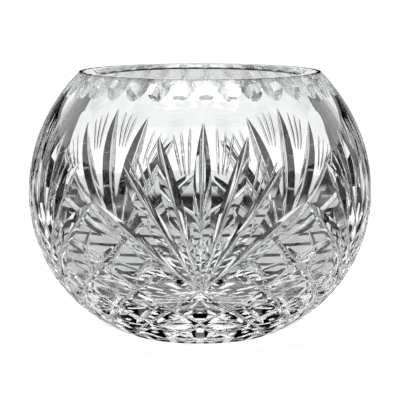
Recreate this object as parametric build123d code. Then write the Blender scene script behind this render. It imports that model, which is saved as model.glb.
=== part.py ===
from build123d import *

import os
from math import asin, cos, pi, radians, sin, sqrt, tan

# Cut crystal rose bowl in millimetres, standing on z = 0 with +Z up.
# Turns round the bowl are degrees from the front, which faces -Y.

# Blown blank: a round belly, a flat ground rim with a bevel inside, a ring to stand on
belly_radius = 89.0
belly_height = 75.0
bowl_height = 137.7
mouth_radius = 62.6
rim_land = 6.5
rim_bevel = 1.5
belly_wall = 6.0
floor_thickness = 12.0
floor_radius = 21.0
foot_radius = 31.3
foot_ring_width = 7.5
foot_dish_depth = 1.5
foot_dish_taper = 6.0
outer_rings = (6, 5)
inner_rings = (14, 10)

# Flutes round the neck, cut with a round wheel that leans into the rim
flute_count = 36
flute_turn = 2.3
flute_radius = 17.0
flute_length = 10.7
flute_lean = 12.0

# Mitre lines, which cross in diamonds below the fans
fan_count = 5
lines_per_fan = 3
line_top = 3.6
line_foot = 4.0
line_slope = 41.5
line_angle = 58.0
main_depth = 3.0
main_peak = 16.0
main_swell = 22.5
line_depth = 1.7
low_depth = 1.35
line_bite = 9.0
line_fade = 24.0
line_stations = 12
fine_gap = 2.0

# Fan leaves: turn of the tip from the fan's middle, drop of the tip below the rim, depth
leaf_angle = 60.0
leaf_peak = 0.6
leaf_stations = 8
fan_lean = 1.2
middle_leaf = (0.0, 19.2, 2.7)
inner_leaf = (15.7, 26.0, 2.8)
outer_leaf = (27.3, 40.5, 2.8)

# How far the cutting wheels stand proud of the glass, and run on past the ends of a cut
wheel_clear = 1.2
leaf_run_on = 0.02
line_run_on = 1.5

fan_pitch = 360 / fan_count
line_pitch = fan_pitch / lines_per_fan
peak_height = belly_height + line_top


def upright_arc(inset, rise):
    """Radius of an arc that stands upright at the belly and goes in by inset over a rise."""
    return (inset**2 + rise**2) / (2 * inset)


cavity_radius = belly_radius - belly_wall
land_radius = mouth_radius - rim_land
throat_radius = land_radius - rim_bevel
throat_height = bowl_height - rim_bevel

# Each wall: its radius at the belly, the arc below it and the arc above it
outer_wall = (
    belly_radius,
    upright_arc(belly_radius - foot_radius, belly_height),
    upright_arc(belly_radius - mouth_radius, bowl_height - belly_height),
)
inner_wall = (
    cavity_radius,
    upright_arc(cavity_radius - floor_radius, belly_height - floor_thickness),
    upright_arc(cavity_radius - throat_radius, throat_height - belly_height),
)


def skin(z, wall=outer_wall):
    """Radius of a wall at a height, with the outward and upward parts of its normal."""
    belly, lower_arc, upper_arc = wall
    arc = upper_arc if z >= belly_height else lower_arc
    lift = (z - belly_height) / arc
    across = sqrt(1 - lift**2)
    return belly - arc + arc * across, across, lift


def spot(turn, z):
    """Point on the outside of the blank and the normal there."""
    radius, across, lift = skin(z)
    a = radians(turn)
    point = Vector(radius * sin(a), -radius * cos(a), z)
    return point, Vector(across * sin(a), -across * cos(a), lift)


def blown(wall, low, high, rings):
    """Round form inside a wall, drawn through rings that are spaced evenly along its arcs."""
    _, lower_arc, upper_arc = wall
    fall = asin((belly_height - low) / lower_arc)
    climb = asin((high - belly_height) / upper_arc)
    lower, upper = rings
    heights = [belly_height - lower_arc * sin(fall * (1 - i / lower)) for i in range(lower)]
    heights += [belly_height + upper_arc * sin(climb * i / upper) for i in range(upper + 1)]
    return Solid.make_loft([Wire.make_circle(skin(z, wall)[0], Plane((0, 0, z))) for z in heights])


def blown_blank():
    """The plain bowl before cutting: hollow, bevelled inside the rim and hollowed under the foot."""
    ring = foot_radius - foot_ring_width
    outside = blown(outer_wall, 0, bowl_height, outer_rings)
    inside = blown(inner_wall, floor_thickness, throat_height, inner_rings)
    bevel = Solid.make_cone(throat_radius, land_radius, rim_bevel, Plane((0, 0, throat_height)))
    dish = Solid.make_cone(ring, ring - foot_dish_taper, foot_dish_depth)
    return Part() + outside - [inside] - [bevel, dish]


def mitre(path, angle):
    """V-edged wheel drawn along stations of turn, height and depth."""
    sections = []
    for i, (turn, z, depth) in enumerate(path):
        point, normal = spot(turn, z)
        before = spot(*path[max(i - 1, 0)][:2])[0]
        after = spot(*path[min(i + 1, len(path) - 1)][:2])[0]
        side = normal.cross(after - before).normalized()
        half = (depth + wheel_clear) * tan(radians(angle))
        top = point + normal * wheel_clear
        corners = [point - normal * depth, top + side * half, top - side * half]
        sections.append(Wire.make_polygon(corners, close=True))
    return Solid.make_loft(sections)


def leaf(start, tip, depth):
    """Lens-shaped cut between two spots, deepest at its peak and pointed at both ends."""
    path = []
    for i in range(leaf_stations):
        t = (1 + 2 * leaf_run_on) * i / (leaf_stations - 1) - leaf_run_on
        span = leaf_peak if t < leaf_peak else 1 - leaf_peak
        swell = 1 - ((t - leaf_peak) / span) ** 2
        turn = start[0] + (tip[0] - start[0]) * t
        z = start[1] + (tip[1] - start[1]) * t
        path.append((turn, z, depth * swell))
    return mitre(path, leaf_angle)


def fall_of_line(step=0.5):
    """Turn and height along a mitre line, which crosses the glass at one slope all the way down."""
    trail = [(0.0, peak_height)]
    while trail[-1][1] > line_foot:
        turn, z = trail[-1]
        radius, across, _ = skin(z)
        trail.append((turn + step, z - radius * radians(step) * tan(radians(line_slope)) * across))
    return trail


trail = fall_of_line()
line_end = trail[-1][0]


def height_on_line(turn):
    """Height of a mitre line after it has gone a turn round from its peak."""
    step = trail[1][0]
    i = min(max(int(turn / step), 0), len(trail) - 2)
    share = turn / step - i
    return trail[i][1] + (trail[i + 1][1] - trail[i][1]) * share


fan_foot = height_on_line(fan_pitch / 2)


def mitre_line(origin, start, full, hand):
    """One mitre line, left or right handed, that bites in at its start and fades out over the foot."""
    path = []
    for i in range(line_stations):
        s = start - line_run_on + (line_end - start + 2 * line_run_on) * i / (line_stations - 1)
        bite = 1 - max(0.0, 1 - (s - start) / line_bite) ** 2
        fade = 1 - max(0.0, 1 - (line_end - s) / line_fade) ** 2
        swell = cos(pi / 2 * min(abs(s - main_peak) / main_swell, 1)) ** 2
        depth = (low_depth + (full - low_depth) * swell) * bite * fade
        path.append((hand * (origin + s), height_on_line(s), depth))
    return mitre(path, line_angle)


def mitre_lines(hand):
    """Lines of one hand: the deep main ones, and finer ones that start at the other hand's main lines."""
    mains = []
    fine = []
    for fan in range(fan_count):
        peak = (fan - 0.5) * fan_pitch
        mains.append(mitre_line(peak, 0, main_depth, hand))
        for j in range(1, lines_per_fan):
            start = (fan_pitch - j * line_pitch) / 2 + fine_gap
            fine.append(mitre_line(peak + j * line_pitch, start, line_depth, hand))
    return mains, fine


def fan_leaves(shape, hand):
    """The same leaf of every fan, from the fan's foot to its tip."""
    turn, drop, depth = shape
    cuts = []
    for fan in range(fan_count):
        middle = fan * fan_pitch
        tip = (middle + hand * turn + fan_lean, bowl_height - drop)
        cuts.append(leaf((middle, fan_foot), tip, depth))
    return cuts


def flutes():
    """Round wheels laid up the neck, leaning in so that each flute ends in an arch."""
    point, normal = spot(0, bowl_height - flute_length)
    along = normal.cross(Vector(1, 0, 0))
    lean = radians(flute_lean)
    run = along * cos(lean) - normal * sin(lean)
    lift = normal * cos(lean) + along * sin(lean)
    reach = 2 * flute_length
    plane = Plane(point + lift * flute_radius - run * reach, x_dir=(1, 0, 0), z_dir=run)
    wheel = Solid.make_cylinder(flute_radius, 2 * reach, plane)
    return [wheel.rotate(Axis.Z, flute_turn + i * 360 / flute_count) for i in range(flute_count)]


def cut_bowl():
    """The blank with every row of cuts taken in turn, so that no two cuts of a row overlap."""
    bowl = blown_blank()
    wheels = flutes()
    rows = [wheels[0::2], wheels[1::2]]
    for hand in (1, -1):
        rows.extend(mitre_lines(hand))
    rows.append(fan_leaves(middle_leaf, 1))
    for shape in (inner_leaf, outer_leaf):
        for hand in (1, -1):
            rows.append(fan_leaves(shape, hand))
    for row in rows:
        bowl = bowl - row
    return bowl


os.makedirs("parts", exist_ok=True)
export_step(cut_bowl(), "parts/crystal_bowl.step")
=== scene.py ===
import bpy
from math import asin, atan2, cos, pi, radians, sin, sqrt, tan
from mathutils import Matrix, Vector


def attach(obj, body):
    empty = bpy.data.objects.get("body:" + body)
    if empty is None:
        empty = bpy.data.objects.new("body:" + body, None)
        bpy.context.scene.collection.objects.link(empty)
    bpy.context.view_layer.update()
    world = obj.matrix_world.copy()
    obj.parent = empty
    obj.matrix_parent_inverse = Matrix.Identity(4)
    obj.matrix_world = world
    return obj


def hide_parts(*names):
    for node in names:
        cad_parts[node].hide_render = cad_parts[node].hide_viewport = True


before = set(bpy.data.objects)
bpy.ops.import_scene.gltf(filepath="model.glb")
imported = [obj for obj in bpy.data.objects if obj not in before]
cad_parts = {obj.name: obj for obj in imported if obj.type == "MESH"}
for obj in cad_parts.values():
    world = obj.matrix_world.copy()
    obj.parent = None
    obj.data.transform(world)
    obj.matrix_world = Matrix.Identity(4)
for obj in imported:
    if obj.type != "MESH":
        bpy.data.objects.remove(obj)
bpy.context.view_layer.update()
scene = bpy.context.scene
mm = 0.001


# Small helpers


def linear(hexColour):
    parts = [int(hexColour[i:i + 2], 16) / 255 for i in (1, 3, 5)]
    return tuple(c / 12.92 if c <= 0.04045 else ((c + 0.055) / 1.055) ** 2.4 for c in parts) + (1.0,)


def addNode(tree, kind, settings=None, links=None):
    node = tree.nodes.new(kind)
    for key, value in (settings or {}).items():
        if isinstance(key, str) and hasattr(node, key):
            setattr(node, key, value)
        else:
            node.inputs[key].default_value = value
    for key, socket in (links or {}).items():
        tree.links.new(socket, node.inputs[key])
    return node


def addMaterial(name):
    # a new material with an empty node tree
    material = bpy.data.materials.new(name)
    material.use_nodes = True
    material.node_tree.nodes.clear()
    return material, material.node_tree


def addMesh(name, points, faces):
    mesh = bpy.data.meshes.new(name)
    mesh.from_pydata([tuple(p) for p in points], [], faces)
    piece = bpy.data.objects.new(name, mesh)
    scene.collection.objects.link(piece)
    return piece


def between(start, end, share):
    # turn and height part of the way from one spot to another
    return tuple(a + (b - a) * share for a, b in zip(start, end))


# Lead crystal, blown, wheel-cut and acid-polished: colourless and clear,
# and its high index gives the cuts bright edges and deep darks


crystal = {
    "tint": "#fcfdfd",
    "ior": 1.545,
    "rippleSize": 14.0,   # mm between the soft waves that blowing leaves in the wall
    "rippleDepth": 0.02,  # mm
    "rippleDetail": 1.0,
    "polishSize": 3.0,    # mm, patches left by the polishing
    "polishDetail": 2.0,
    "polishLow": 0.0,     # roughness
    "polishHigh": 0.012,
}


def crystalMaterial(v):
    material, tree = addMaterial("polishedLeadCrystal")
    place = addNode(tree, "ShaderNodeTexCoord")
    # the wall isn't quite even, so what shows through it wavers a little
    ripple = addNode(tree, "ShaderNodeTexNoise",
                     {"Scale": 1 / (v["rippleSize"] * mm), "Detail": v["rippleDetail"]},
                     {"Vector": place.outputs["Object"]})
    bump = addNode(tree, "ShaderNodeBump", {"Strength": 1.0, "Distance": v["rippleDepth"] * mm},
                   {"Height": ripple.outputs["Fac"]})
    # acid polish leaves a clear shine with faintly softer patches
    polish = addNode(tree, "ShaderNodeTexNoise",
                     {"Scale": 1 / (v["polishSize"] * mm), "Detail": v["polishDetail"]},
                     {"Vector": place.outputs["Object"]})
    soft = addNode(tree, "ShaderNodeMapRange", {"To Min": v["polishLow"], "To Max": v["polishHigh"]},
                   {"Value": polish.outputs["Fac"]})
    glass = addNode(tree, "ShaderNodeBsdfPrincipled",
                    {"Base Color": linear(v["tint"]), "Transmission Weight": 1.0, "IOR": v["ior"]},
                    {"Roughness": soft.outputs["Result"], "Normal": bump.outputs["Normal"]})
    addNode(tree, "ShaderNodeOutputMaterial", links={"Surface": glass.outputs["BSDF"]})
    return material


crystalGlass = crystalMaterial(crystal)
print("material ready:", crystalGlass.name)


# The blown blank: a round belly, a flat ground rim bevelled inside, a ring to stand on


blank = {
    "bellyRadius": 89.0,
    "bellyHeight": 75.0,
    "bowlHeight": 137.7,
    "mouthRadius": 62.6,
    "rimLand": 6.5,
    "rimBevel": 1.5,
    "bellyWall": 6.0,
    "floorThickness": 12.0,
    "floorRadius": 21.0,
    "footRadius": 31.3,
    "footRingWidth": 7.5,
    "footDishDepth": 1.5,
    "footDishTaper": 6.0,
    "stepsRound": 240,
    "stepAlong": 2.0,   # mm between the rings of the mesh
}
sideNames = ("flat", "outer", "inner")   # a face's wall is kept as its place in this list


def uprightArc(inset, rise):
    # radius of an arc that stands upright at the belly and goes in by inset over a rise
    return (inset ** 2 + rise ** 2) / (2 * inset)


def wallsOf(v):
    # each wall: its radius at the belly, the arc below it and the arc above it
    cavity = v["bellyRadius"] - v["bellyWall"]
    throat = v["mouthRadius"] - v["rimLand"] - v["rimBevel"]
    up = v["bowlHeight"] - v["bellyHeight"]
    return {
        "outer": (v["bellyRadius"], uprightArc(v["bellyRadius"] - v["footRadius"], v["bellyHeight"]),
                  uprightArc(v["bellyRadius"] - v["mouthRadius"], up)),
        "inner": (cavity, uprightArc(cavity - v["floorRadius"], v["bellyHeight"] - v["floorThickness"]),
                  uprightArc(cavity - throat, up - v["rimBevel"])),
    }


walls = wallsOf(blank)


def skin(z, wall="outer"):
    # radius of a wall at a height, with the outward and upward parts of its normal
    belly, below, above = walls[wall]
    arc = above if z >= blank["bellyHeight"] else below
    lift = max(-1.0, min(1.0, (z - blank["bellyHeight"]) / arc))
    across = sqrt(1 - lift * lift)
    return belly - arc + arc * across, across, lift


def spot(turn, z):
    # point on the outside of the blank and the normal there; turns are degrees from the front
    radius, across, lift = skin(z)
    a = radians(turn)
    point = Vector((radius * sin(a), -radius * cos(a), z))
    return point, Vector((across * sin(a), -across * cos(a), lift))


def wallSteps(wall, low, high):
    # heights evenly spaced along the two arcs of a wall, from low to high
    _, below, above = walls[wall]
    middle = blank["bellyHeight"]
    fall = asin(min(1.0, (middle - low) / below))
    climb = asin((high - middle) / above)
    lower = max(2, round(fall * below / blank["stepAlong"]))
    upper = max(2, round(climb * above / blank["stepAlong"]))
    heights = [middle - below * sin(fall * (1 - i / lower)) for i in range(lower)]
    return heights + [middle + above * sin(climb * i / upper) for i in range(upper + 1)]


def blownSection(v):
    # from the middle of the foot round the outside to the middle of the floor: radius, height, wall
    ring = v["footRadius"] - v["footRingWidth"]
    dish = v["footDishDepth"]
    floor = v["floorThickness"]
    outside = wallSteps("outer", 0, v["bowlHeight"])
    inside = wallSteps("inner", floor, v["bowlHeight"] - v["rimBevel"])
    section = [(0, dish, "flat"), (ring - v["footDishTaper"], dish, "flat"), (ring, 0, "flat")]
    section += [(skin(z)[0], z, "outer") for z in outside]
    section += [(v["mouthRadius"] - v["rimLand"], v["bowlHeight"], "flat")]
    section += [(skin(z, "inner")[0], z, "inner") for z in reversed(inside)]
    return section + [(v["floorRadius"] / 2, floor, "flat"), (0, floor, "flat")]


def blownBlank(v):
    # the section spun round the axis, with one point where it meets the axis
    section = blownSection(v)
    around = v["stepsRound"]
    points, rows, faces, sides = [], [], [], []
    for radius, z, _ in section:
        count = around if radius else 1
        rows.append(range(len(points), len(points) + count))
        for k in range(count):
            a = 2 * pi * k / around
            points.append(Vector((radius * cos(a), radius * sin(a), z)) * mm)
    for i in range(len(section) - 1):
        low, high = rows[i], rows[i + 1]
        here, there = section[i][2], section[i + 1][2]
        side = here if here == there else "flat"
        for k in range(around):
            n = (k + 1) % around
            if len(low) == 1:
                faces.append((low[0], high[n], high[k]))
            elif len(high) == 1:
                faces.append((low[k], low[n], high[0]))
            else:
                faces.append((low[k], low[n], high[n], high[k]))
            sides.append(sideNames.index(side))
    bowl = addMesh("crystalBowl", points, faces)
    bowl.data.attributes.new("wall", "INT", "FACE").data.foreach_set("value", sides)
    return bowl


bowl = blownBlank(blank)
print("blank blown:", len(bowl.data.polygons), "faces")


# Rows of cuts: one wheel, repeated round the axis and taken out of the glass


def cutRow():
    tree = bpy.data.node_groups.new("wheelCutRow", "GeometryNodeTree")
    face = tree.interface
    face.new_socket("Glass", in_out="INPUT", socket_type="NodeSocketGeometry")
    kinds = {"Wheel": "Object", "Copies": "Int", "Turn": "Float", "Finish": "Material"}
    sockets = {name: face.new_socket(name, in_out="INPUT", socket_type="NodeSocket" + kind)
               for name, kind in kinds.items()}
    face.new_socket("Cut glass", in_out="OUTPUT", socket_type="NodeSocketGeometry")
    given = addNode(tree, "NodeGroupInput")
    wheel = addNode(tree, "GeometryNodeObjectInfo", {"transform_space": "ORIGINAL"},
                    {"Object": given.outputs["Wheel"]})
    spots = addNode(tree, "GeometryNodePoints", links={"Count": given.outputs["Copies"]})
    index = addNode(tree, "GeometryNodeInputIndex")
    share = addNode(tree, "ShaderNodeMath", {"operation": "DIVIDE"},
                    {0: index.outputs[0], 1: given.outputs["Copies"]})
    turn = addNode(tree, "ShaderNodeMath", {"operation": "MULTIPLY_ADD", 1: 2 * pi},
                   {0: share.outputs[0], 2: given.outputs["Turn"]})
    spin = addNode(tree, "ShaderNodeCombineXYZ", links={"Z": turn.outputs[0]})
    ring = addNode(tree, "GeometryNodeInstanceOnPoints",
                   links={"Points": spots.outputs[0], "Instance": wheel.outputs["Geometry"],
                          "Rotation": spin.outputs[0]})
    cut = addNode(tree, "GeometryNodeMeshBoolean", {"operation": "DIFFERENCE", "solver": "MANIFOLD"},
                  {"Mesh 1": given.outputs["Glass"], "Mesh 2": ring.outputs[0]})
    real = addNode(tree, "GeometryNodeRealizeInstances", links={0: cut.outputs["Mesh"]})
    done = addNode(tree, "GeometryNodeSetMaterial",
                   links={"Geometry": real.outputs[0], "Material": given.outputs["Finish"]})
    addNode(tree, "NodeGroupOutput", links={0: done.outputs[0]})
    return tree, {name: socket.identifier for name, socket in sockets.items()}


rowTree, rowInput = cutRow()
wheels = []


def takeRow(wheel, copies, turn=0.0):
    row = bowl.modifiers.new(wheel.name, "NODES")
    row.node_group = rowTree
    row[rowInput["Wheel"]] = wheel
    row[rowInput["Copies"]] = copies
    row[rowInput["Turn"]] = radians(turn)
    row[rowInput["Finish"]] = crystalGlass
    if wheel not in wheels:
        wheels.append(wheel)


# Flutes round the neck


flutes = {
    "count": 36,
    "turn": 2.3,
    "radius": 17.0,
    "length": 10.7,
    "lean": 12.0,
    "halfWidth": 8.0,
    "steps": 18,
}


def fluteCut(v):
    # a slice of a round wheel laid up the neck, leaning in so that the flute ends in an arch
    middle, normal = spot(0, blank["bowlHeight"] - v["length"])
    across = Vector((1, 0, 0))
    along = normal.cross(across)
    lean = radians(v["lean"])
    run = along * cos(lean) - normal * sin(lean)
    lift = normal * cos(lean) + along * sin(lean)
    radius, steps = v["radius"], v["steps"]
    half = asin(v["halfWidth"] / radius)
    hub = middle + lift * radius
    points = []
    for reach in (-2 * v["length"], 2 * v["length"]):
        for i in range(steps + 1):
            a = half * (2 * i / steps - 1)
            points.append((hub + run * reach + across * radius * sin(a) - lift * radius * cos(a)) * mm)
    row = steps + 1
    faces = [(i, i + 1, row + i + 1, row + i) for i in range(steps)]
    faces += [(steps, 0, row, row + steps), tuple(range(steps, -1, -1)), tuple(range(row, 2 * row))]
    return addMesh("fluteWheel", points, faces)


flute = fluteCut(flutes)
for half in (0, 1):   # every other flute, so that no two wheels of a row overlap
    takeRow(flute, flutes["count"] // 2, flutes["turn"] + half * 360 / flutes["count"])


# V-edged wheels for the mitre lines, leaves and hair lines


vWheel = {
    "clear": 1.2,       # mm that the wheel stands proud of the glass
    "tipRound": 1.2,    # mm, worn round that leaves a soft bottom in the cut
    "tipShare": 0.42,   # most of the wheel's height that the round may take
    "tipStrip": 0.25,   # narrow strip beside the round, as a share of it
    "tipSteps": 4,
}


def wheelEdge(angle, depth):
    # section of the wheel as pairs of offset across and depth below the glass
    tilt = radians(90 - angle)
    full = depth + vWheel["clear"]
    radius = min(vWheel["tipRound"], vWheel["tipShare"] * full)
    hub = depth - radius / cos(tilt)
    steps = vWheel["tipSteps"]
    turns = [tilt * (2 * i / steps - 1) for i in range(steps + 1)]
    edge = [(radius * sin(a), hub + radius * cos(a)) for a in turns]
    strip = radius * (sin(tilt) + vWheel["tipStrip"] * cos(tilt))
    for across in (strip, full * tan(radians(angle))):
        below = depth - across / tan(radians(angle))
        edge = [(-across, below)] + edge + [(across, below)]
    return edge


def wheelCut(name, paths, angle):
    # wheels along stations of turn, height and depth, closed at both ends
    points, faces = [], []
    for path in paths:
        first = len(points)
        last = len(path) - 1
        for i, (turn, z, depth) in enumerate(path):
            middle, normal = spot(turn, z)
            before = spot(*path[max(i - 1, 0)][:2])[0]
            after = spot(*path[min(i + 1, last)][:2])[0]
            side = normal.cross(after - before).normalized()
            edge = wheelEdge(angle, depth)
            points += [(middle + side * across - normal * below) * mm for across, below in edge]
        count = len(edge)
        for i in range(last):
            a = first + count * i
            b = a + count
            faces += [(a + j, a + (j + 1) % count, b + (j + 1) % count, b + j) for j in range(count)]
        end = first + count * last
        faces += [tuple(range(first + count - 1, first - 1, -1)), tuple(range(end, end + count))]
    return addMesh(name, points, faces)


# The pattern repeats in fans round the bowl, which all lean a little to one side
pattern = {"fanCount": 5, "fanLean": 1.2}
fanPitch = 360 / pattern["fanCount"]


# Mitre lines, which cross in diamonds below the fans


mitres = {
    "perFan": 3,
    "top": 3.6,          # mm above the belly
    "foot": 4.0,
    "slope": 41.5,
    "angle": 58.0,
    "mainDepth": 3.0,
    "mainPeak": 16.0,    # degrees along the line to its deepest place
    "mainSwell": 22.5,
    "fineDepth": 1.7,
    "lowDepth": 1.35,
    "bite": 9.0,         # degrees over which a line starts and fades out
    "fade": 24.0,
    "fineGap": 2.0,
    "runOn": 1.5,
    "trailStep": 0.5,
    "steps": 60,
}


def fallOfLine(v):
    # turn and height along a line, which crosses the glass at one slope all the way down
    step = v["trailStep"]
    trail = [(0.0, blank["bellyHeight"] + v["top"])]
    while trail[-1][1] > v["foot"]:
        turn, z = trail[-1]
        radius, across, _ = skin(z)
        trail.append((turn + step, z - radius * radians(step) * tan(radians(v["slope"])) * across))
    return trail


trail = fallOfLine(mitres)
lineEnd = trail[-1][0]


def heightOnLine(turn):
    step = mitres["trailStep"]
    i = min(max(int(turn / step), 0), len(trail) - 2)
    return trail[i][1] + (trail[i + 1][1] - trail[i][1]) * (turn / step - i)


def linePath(v, origin, start, full, hand):
    # a line bites in at its start, swells under the fan and fades out over the foot
    path = []
    for i in range(v["steps"]):
        s = start - v["runOn"] + (lineEnd - start + 2 * v["runOn"]) * i / (v["steps"] - 1)
        bite = 1 - max(0.0, 1 - (s - start) / v["bite"]) ** 2
        fade = 1 - max(0.0, 1 - (lineEnd - s) / v["fade"]) ** 2
        swell = cos(pi / 2 * min(abs(s - v["mainPeak"]) / v["mainSwell"], 1)) ** 2
        depth = (v["lowDepth"] + (full - v["lowDepth"]) * swell) * bite * fade
        path.append((hand * (origin + s), heightOnLine(s), depth))
    return path


linePitch = fanPitch / mitres["perFan"]
for hand in (1, -1):
    path = linePath(mitres, -fanPitch / 2, 0, mitres["mainDepth"], hand)
    takeRow(wheelCut("mainMitre", [path], mitres["angle"]), pattern["fanCount"])
    for j in range(1, mitres["perFan"]):   # the finer lines start at the other hand's main lines
        start = (fanPitch - j * linePitch) / 2 + mitres["fineGap"]
        path = linePath(mitres, j * linePitch - fanPitch / 2, start, mitres["fineDepth"], hand)
        takeRow(wheelCut("fineMitre", [path], mitres["angle"]), pattern["fanCount"])


# Fan leaves, from the crossing of the main lines up to their tips


leaves = {
    "angle": 60.0,
    "peak": 0.6,    # share of the length at which a leaf is deepest
    "runOn": 0.02,
    "steps": 36,
    "tips": ((0.0, 19.2, 2.7), (15.7, 26.0, 2.8), (27.3, 40.5, 2.8)),  # turn, drop below the rim, depth
}


def leafPath(v, start, tip, depth):
    # lens-shaped: pointed at both ends
    path = []
    for i in range(v["steps"]):
        t = (1 + 2 * v["runOn"]) * i / (v["steps"] - 1) - v["runOn"]
        span = v["peak"] if t < v["peak"] else 1 - v["peak"]
        swell = 1 - ((t - v["peak"]) / span) ** 2
        path.append((*between(start, tip, t), depth * swell))
    return path


fanFoot = (0, heightOnLine(fanPitch / 2))
for turn, drop, depth in leaves["tips"]:
    for hand in (1, -1) if turn else (1,):
        tip = (hand * turn + pattern["fanLean"], blank["bowlHeight"] - drop)
        path = leafPath(leaves, fanFoot, tip, depth)
        takeRow(wheelCut("fanLeaf", [path], leaves["angle"]), pattern["fanCount"])


# Hair lines beside the leaves, the same on each side of a fan


hairs = {
    "angle": 48.0,
    "depth": 0.75,
    "fade": 1.05,   # over 1, so that the wheel leaves the glass just before the ends
    "steps": 16,
    # turn and height of both ends
    "lines": (((4.7, 90.0), (4.7, 118.6)), ((5.7, 90.0), (8.1, 117.0)), ((6.6, 90.0), (11.0, 115.0)),
              ((14.6, 79.0), (20.0, 106.0)), ((15.6, 78.0), (23.2, 104.0)), ((16.4, 77.0), (26.0, 101.0))),
}


def hairPath(v, ends, hand):
    start, tip = [(hand * turn + pattern["fanLean"], z) for turn, z in ends]
    path = []
    for i in range(v["steps"]):
        t = i / (v["steps"] - 1)
        swell = 1 - (2 * t - 1) ** 2 * v["fade"]
        path.append((*between(start, tip, t), v["depth"] * swell))
    return path


for ends in hairs["lines"]:
    pair = [hairPath(hairs, ends, hand) for hand in (1, -1)]
    takeRow(wheelCut("hairLine", pair, hairs["angle"]), pattern["fanCount"])
print("wheels set:", len(bowl.modifiers), "rows")


# The cut bowl as a plain mesh, polished


polish = {"sharpAngle": 18.0}   # degrees between facets that keep a crisp edge


def keepCutGlass():
    done = bowl.evaluated_get(bpy.context.evaluated_depsgraph_get())
    mesh = bpy.data.meshes.new_from_object(done)
    mesh.name = "crystalBowl"
    bowl.modifiers.clear()
    bowl.data = mesh
    for wheel in wheels:
        bpy.data.objects.remove(wheel)


def polishNormals(v):
    # smooth walls take the normal of the arcs they were blown to, cut facets keep crisp edges
    mesh = bowl.data
    mesh.shade_smooth()
    mesh.set_sharp_from_angle(angle=radians(v["sharpAngle"]))
    wallOf = [0] * len(mesh.polygons)
    mesh.attributes["wall"].data.foreach_get("value", wallOf)
    normals = [Vector(n.vector) for n in mesh.corner_normals]
    for face in mesh.polygons:
        side = sideNames[wallOf[face.index]]
        if side == "flat":
            continue
        facing = 1 if side == "outer" else -1
        for loop in face.loop_indices:
            x, y, z = mesh.vertices[mesh.loops[loop].vertex_index].co / mm
            _, across, lift = skin(z, side)
            a = atan2(y, x)
            normals[loop] = Vector((across * cos(a), across * sin(a), lift)) * facing
    mesh.normals_split_custom_set(normals)
    mesh.attributes.remove(mesh.attributes["wall"])


keepCutGlass()
polishNormals(polish)
print("bowl cut:", len(bowl.data.polygons), "faces")
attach(bowl, "root")
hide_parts("crystal_bowl")


# Studio: white floor and background, soft light from above


studio = {
    "whiteTone": "#ffffff",
    "floorSize": 12.0,
    "floorGlow": 0.62,
    "floorTone": "#d8d8d8",
    "lampSize": 1.2,
    "lampHeight": 1.6,
    "lampPower": 18.0,
    "worldLight": 0.55,
    "bounces": 64,   # light crosses many facets before it leaves the glass
}


def seenDirectly(tree):
    # 1 for what the camera sees, straight on or through and off the glass
    path = addNode(tree, "ShaderNodeLightPath")
    one = addNode(tree, "ShaderNodeMath", {"operation": "MAXIMUM"},
                  {0: path.outputs["Is Camera Ray"], 1: path.outputs["Is Glossy Ray"]})
    return addNode(tree, "ShaderNodeMath", {"operation": "MAXIMUM"},
                   {0: one.outputs[0], 1: path.outputs["Is Transmission Ray"]}).outputs[0]


def whiteWorld(v):
    world = bpy.data.worlds.new("whiteStudio")
    scene.world = world
    world.use_nodes = True
    tree = world.node_tree
    tree.nodes.clear()
    light = addNode(tree, "ShaderNodeMapRange", {"To Min": v["worldLight"], "To Max": 1.0},
                    {"Value": seenDirectly(tree)})
    glow = addNode(tree, "ShaderNodeBackground", {"Color": linear(v["whiteTone"])},
                   {"Strength": light.outputs["Result"]})
    addNode(tree, "ShaderNodeOutputWorld", links={"Surface": glow.outputs["Background"]})


def whiteFloor(v):
    half = v["floorSize"] / 2
    corners = [(-half, -half, 0), (half, -half, 0), (half, half, 0), (-half, half, 0)]
    floor = addMesh("studioFloor", corners, [(0, 1, 2, 3)])
    # matt white paper, lit from below for the eye alone, which keeps the bowl's soft shadow
    material, tree = addMaterial("whitePaperFloor")
    paper = addNode(tree, "ShaderNodeBsdfDiffuse", {"Color": linear(v["floorTone"])})
    glowing = addNode(tree, "ShaderNodeMath", {"operation": "MULTIPLY", 1: v["floorGlow"]},
                      {0: seenDirectly(tree)})
    glow = addNode(tree, "ShaderNodeEmission", {"Color": linear(v["whiteTone"])},
                   {"Strength": glowing.outputs[0]})
    both = addNode(tree, "ShaderNodeAddShader", links={0: paper.outputs[0], 1: glow.outputs[0]})
    addNode(tree, "ShaderNodeOutputMaterial", links={"Surface": both.outputs[0]})
    floor.data.materials.append(material)


def softLamp(v):
    lamp = bpy.data.lights.new("softLamp", "AREA")
    lamp.size = v["lampSize"]
    lamp.energy = v["lampPower"]
    holder = bpy.data.objects.new("softLamp", lamp)
    holder.location = (0, 0, v["lampHeight"])
    scene.collection.objects.link(holder)


# Glowing cards that only the glass sees, most in equal sectors so that every side of the bowl is lit
# alike; those lying round the bowl are painted shade and light of the floor


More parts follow.
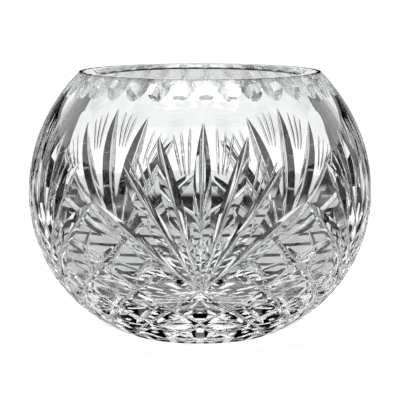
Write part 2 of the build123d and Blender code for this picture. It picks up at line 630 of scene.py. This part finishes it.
cards = {
    "arcSteps": 4,
    "lift": 0.0004,   # m between the layers on the floor
    "blackTone": "#060606",
    "whiteTone": "#ffffff",
    # standing round the bowl: reach, low and high edge in m, sectors, middle and half width in degrees
    "standing": ((2.2, 0.0, 0.23, 8, 22.5, 11.0), (2.2, 0.17, 0.66, 8, 0.0, 22.5),
                 (2.2, 0.0, 1.0, 1, 0.0, 40.0), (1.2, 0.9, 1.8, 8, 22.5, 7.0)),
    "behind": (2.1, 0.0, 0.6, 1, 180.0, 11.0),
    # lying on the floor: inner and outer edge in m, sectors, middle and half width in degrees
    "lying": (0.0, 0.9, 8, 0.0, 22.5),
    # black wedges, chequered under the bowl as a painted shadow of it on the floor, and plain far out
    "spokes": ((0.004, 0.03, 16, 0.0, 8.2), (0.03, 0.05, 16, 11.25, 8.2), (0.05, 0.072, 16, 0.0, 8.2),
               (0.6, 2.15, 8, 22.5, 11.0), (0.55, 2.15, 1, 0.0, 40.0)),
    # thin black rings and rays, which draw the bars across the plates of the fans
    "strips": ((0.081, 0.09, 8, 0.0, 22.5), (0.109, 0.119, 8, 0.0, 22.5), (0.143, 0.155, 8, 0.0, 22.5),
               (0.186, 0.2, 8, 0.0, 22.5), (0.238, 0.254, 8, 0.0, 22.5), (0.072, 0.3, 16, 11.25, 1.5)),
    # tone of the lying card by its distance from the bowl's axis in m, a painted shade and light of the
    # floor round the bowl
    "fade": ((0.0, "#ffffff"), (0.07, "#ffffff"), (0.1, "#d0d0d0"), (0.29, "#c8c8c8"),
             (0.35, "#282828"), (0.56, "#282828"), (0.62, "#e4e4e4"), (0.9, "#ffffff")),
}


def cardPaint(name, tone):
    # card of one even tone that glows, so no lamp lights or shades it; in black under the bowl it is a
    # painted shadow
    material, tree = addMaterial(name)
    paint = addNode(tree, "ShaderNodeEmission", {"Color": linear(tone)})
    addNode(tree, "ShaderNodeOutputMaterial", links={"Surface": paint.outputs[0]})
    return material


def floorShadePaint(name, fade):
    # painted shade and light of the floor round the bowl, in its shadow and caustics: a glow in rings of
    # grey by distance from the axis
    material, tree = addMaterial(name)
    edge = fade[-1][0]
    place = addNode(tree, "ShaderNodeTexCoord")
    reach = addNode(tree, "ShaderNodeVectorMath", {"operation": "LENGTH"}, {0: place.outputs["Object"]})
    share = addNode(tree, "ShaderNodeMapRange", {"From Max": edge}, {"Value": reach.outputs["Value"]})
    ramp = addNode(tree, "ShaderNodeValToRGB", links={"Fac": share.outputs["Result"]})
    for at, _ in fade[1:-1]:
        ramp.color_ramp.elements.new(at / edge)
    for stop, (_, tone) in zip(ramp.color_ramp.elements, fade):
        stop.color = linear(tone)
    paint = addNode(tree, "ShaderNodeEmission", links={"Color": ramp.outputs["Color"]})
    addNode(tree, "ShaderNodeOutputMaterial", links={"Surface": paint.outputs[0]})
    return material


def studioCard(name, corners, sectors, middle, half, paint):
    points, faces = [], []
    steps = cards["arcSteps"]
    for k in range(sectors):
        first = len(points)
        for i in range(steps + 1):
            a = radians(360 / sectors * k + middle + half * (2 * i / steps - 1))
            points += [(radius * sin(a), -radius * cos(a), z) for radius, z in corners]
        starts = [first + 2 * i for i in range(steps)]
        faces += [(n, n + 1, n + 3, n + 2) for n in starts]
    card = addMesh(name, points, faces)
    card.data.materials.append(paint)
    card.visible_camera = False
    card.visible_diffuse = False
    card.visible_shadow = False


def standingCard(name, shape, paint):
    reach, low, high, *sector = shape
    studioCard(name, ((reach, low), (reach, high)), *sector, paint)


def lyingCard(name, shape, layer, paint):
    near, far, *sector = shape
    z = layer * cards["lift"]
    studioCard(name, ((near, z), (far, z)), *sector, paint)


whiteWorld(studio)
whiteFloor(studio)
blackPaint = cardPaint("blackCard", cards["blackTone"])
for shape in cards["standing"]:
    standingCard("standingCard", shape, blackPaint)
standingCard("whiteCard", cards["behind"], cardPaint("whiteCard", cards["whiteTone"]))
# painted shade and light of the floor round the bowl: a glowing card that only the glass sees
lyingCard("lyingCard", cards["lying"], 1, floorShadePaint("paintedFloorShade", cards["fade"]))
# black wedges under the bowl: a painted shadow of it, chequered with the painted light of the card below
for shape in cards["spokes"] + cards["strips"]:
    lyingCard("spokeCard", shape, 2, blackPaint)
softLamp(studio)
scene.view_settings.view_transform = "Standard"
scene.cycles.max_bounces = studio["bounces"]
scene.cycles.transmission_bounces = studio["bounces"]
scene.cycles.glossy_bounces = studio["bounces"]
print("studio set")


# Camera at the photograph's angle


view = {"away": 1.32986, "height": 0.22649, "aim": 0.07058, "lens": 231.5, "sensor": 36.0}
camera = bpy.data.objects.new("camera", bpy.data.cameras.new("camera"))
camera.data.sensor_width = view["sensor"]
camera.data.lens = view["lens"]
camera.location = (0, -view["away"], view["height"])
camera.rotation_euler = (pi / 2 - atan2(view["height"] - view["aim"], view["away"]), 0, 0)
scene.collection.objects.link(camera)
scene.camera = camera
print("camera set")
